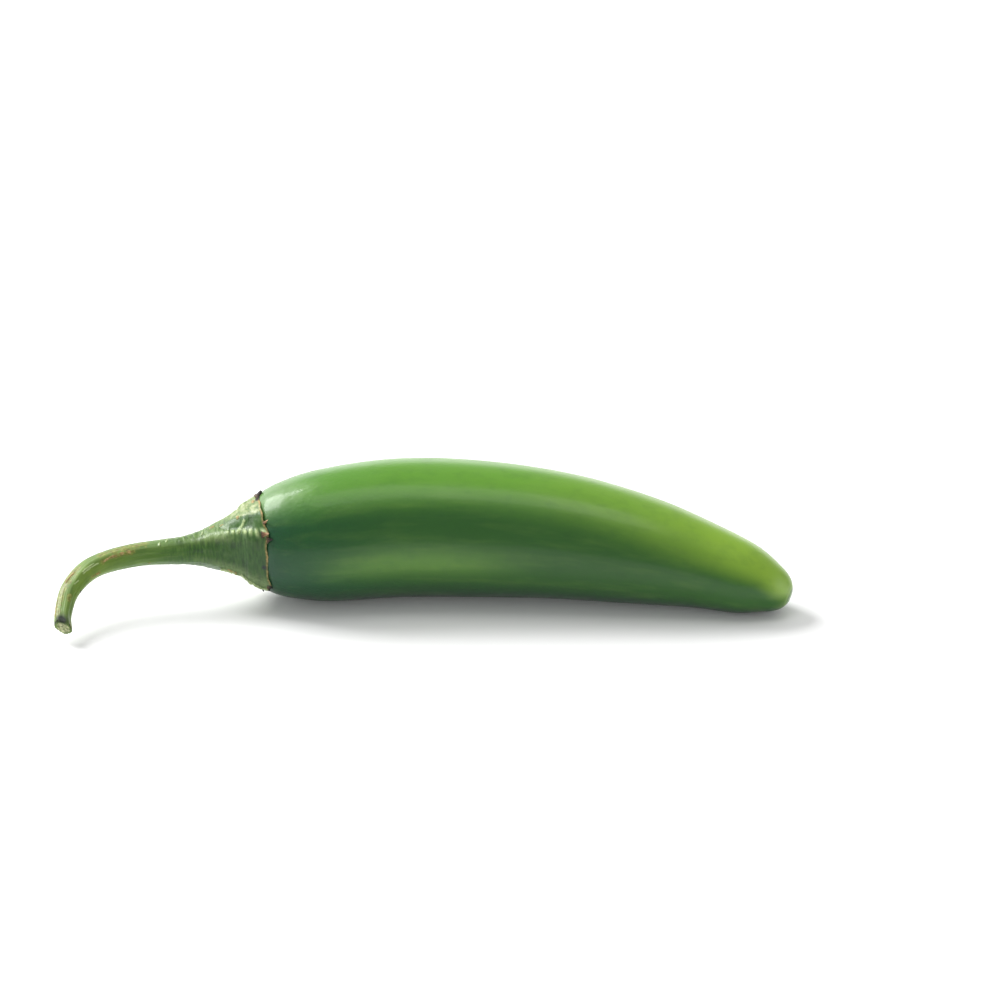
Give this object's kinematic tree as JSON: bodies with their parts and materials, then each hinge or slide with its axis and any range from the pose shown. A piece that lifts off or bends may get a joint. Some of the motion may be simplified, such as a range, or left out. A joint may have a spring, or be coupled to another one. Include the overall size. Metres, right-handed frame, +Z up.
{
  "type": "chilli pepper",
  "caption": "Green chilli pepper lying on its side: a long tapering pod with a ribbed calyx and a curved stem.",
  "frame": {"origin": "on the surface that the pepper lies on, under the middle of its box", "axes": "+X from the stem to the tip of the pod, -Y the side that the stem hooks round to, +Z up"},
  "size_m": [0.1094, 0.03, 0.0207],
  "materials": {
    "pod_skin": "waxy green pepper skin, dark at the shoulder and yellow-green at the tip",
    "calyx_and_stem": "satin green stalk with pale ribs, brown scabs and dried teeth"
  },
  "bodies": {
    "root": {"pod": "pod_skin", "calyx_and_stem": "calyx_and_stem"}
  },
  "joints": []
}
